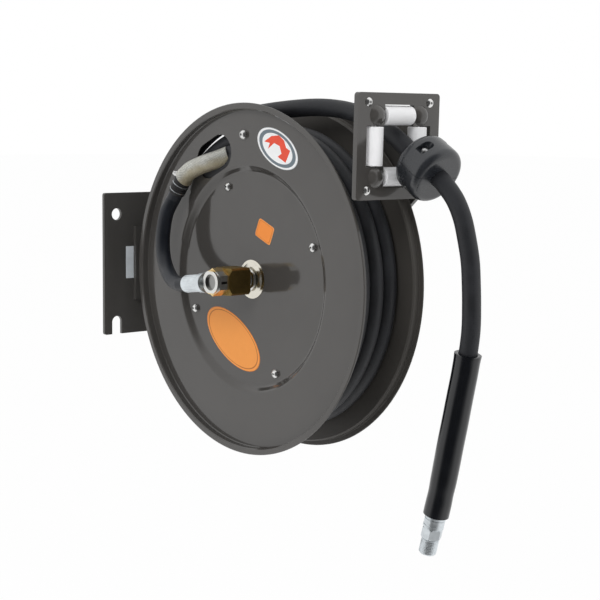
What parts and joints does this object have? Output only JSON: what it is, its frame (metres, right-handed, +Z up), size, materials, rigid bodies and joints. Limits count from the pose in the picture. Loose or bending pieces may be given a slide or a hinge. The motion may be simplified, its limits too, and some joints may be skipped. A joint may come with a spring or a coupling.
{
  "type": "hose reel",
  "caption": "Wall-mounted spring-rewind fire hose reel: sheet steel discs on a hollow axle, a swivel, a roller guide, a hose stop and a hanging hose with a threaded end.",
  "frame": {"origin": "centre of the wall plate's back face, where it meets the wall", "axes": "+Y into the wall, +Z up, X along the drum's axle with the swivel at -X"},
  "size_m": [0.2, 0.5467, 0.486],
  "materials": {
    "grey_paint": "satin",
    "steel": "satin",
    "bright_steel": "polished",
    "zinc": "bright zinc",
    "brass": "machined",
    "bearing_plastic": "moulded",
    "white_plastic": "moulded",
    "black_rubber": "matt",
    "stop_plastic": "moulded",
    "sleeve_plastic": "shiny",
    "braid": "braided",
    "blank_tag": "satin",
    "white_label": "printed film",
    "orange_label": "printed film"
  },
  "bodies": {
    "frame": {"base_plate": "grey_paint", "support_arm": "grey_paint", "foot_rivets": "steel", "maker_tag": "blank_tag", "guide_arm": "grey_paint", "arm_bolts": "steel", "guide_plate": "grey_paint", "guide_screws": "bright_steel", "roller_pins": "steel", "axle": "bright_steel", "axle_washer": "steel", "axle_nut": "steel", "inlet_fitting": "brass", "inlet_seal": "black_rubber", "spring_arbor": "steel", "swivel_seals": "black_rubber", "pawl_pin": "steel", "pawl_spring": "steel", "lead_hose": "black_rubber", "free_hose": "black_rubber", "hose_stop_upper": "stop_plastic", "hose_stop_lower": "stop_plastic", "stop_bolts": "steel", "stop_nuts": "steel", "end_sleeve": "sleeve_plastic", "end_ferrule": "zinc", "end_fitting": "zinc"},
    "drum": {"near_disc": "grey_paint", "far_disc": "grey_paint", "drum_core": "grey_paint", "disc_screws": "bright_steel", "disc_nuts": "steel", "annulus_bolt": "bright_steel", "near_bearing": "bearing_plastic", "far_bearing": "bearing_plastic", "hub_flange": "bright_steel", "ratchet_wheel": "steel", "spring_case": "grey_paint", "power_spring": "steel", "swivel_body": "brass", "swivel_elbow": "brass", "jumper_ferrule": "zinc", "jumper_hose": "black_rubber", "jumper_clamp": "zinc", "braided_sleeve": "braid", "hose_core": "black_rubber", "wound_hose": "black_rubber", "arrow_label": "white_label", "oval_label": "orange_label", "small_label": "orange_label"},
    "roller_left": {"roller_left": "white_plastic"},
    "roller_right": {"roller_right": "white_plastic"},
    "roller_top": {"roller_top": "white_plastic"},
    "roller_bottom": {"roller_bottom": "white_plastic"},
    "pawl": {"pawl": "steel"}
  },
  "joints": [
    {"name": "drum_spin", "type": "hinge", "parent": "frame", "child": "drum", "pos_m": [0, -0.236, -0.002], "axis": [1, 0, 0], "continuous": true},
    {"name": "left_roller_spin", "type": "hinge", "parent": "frame", "child": "roller_left", "pos_m": [-0.032, -0.433, 0.15251], "axis": [0, -0.0209, 0.9998], "continuous": true},
    {"name": "right_roller_spin", "type": "hinge", "parent": "frame", "child": "roller_right", "pos_m": [0.032, -0.433, 0.15251], "axis": [0, -0.0209, 0.9998], "continuous": true},
    {"name": "top_roller_spin", "type": "hinge", "parent": "frame", "child": "roller_top", "pos_m": [0, -0.43367, 0.1845], "axis": [1, 0, 0], "continuous": true},
    {"name": "bottom_roller_spin", "type": "hinge", "parent": "frame", "child": "roller_bottom", "pos_m": [0, -0.43233, 0.12051], "axis": [1, 0, 0], "continuous": true},
    {"name": "pawl_swing", "type": "hinge", "parent": "frame", "child": "pawl", "pos_m": [0, -0.158, 0.018], "axis": [-1, 0, 0], "range_deg": [0, 12], "stiffness_Nm_per_rad": 0.05, "springref_deg": -11.46}
  ]
}
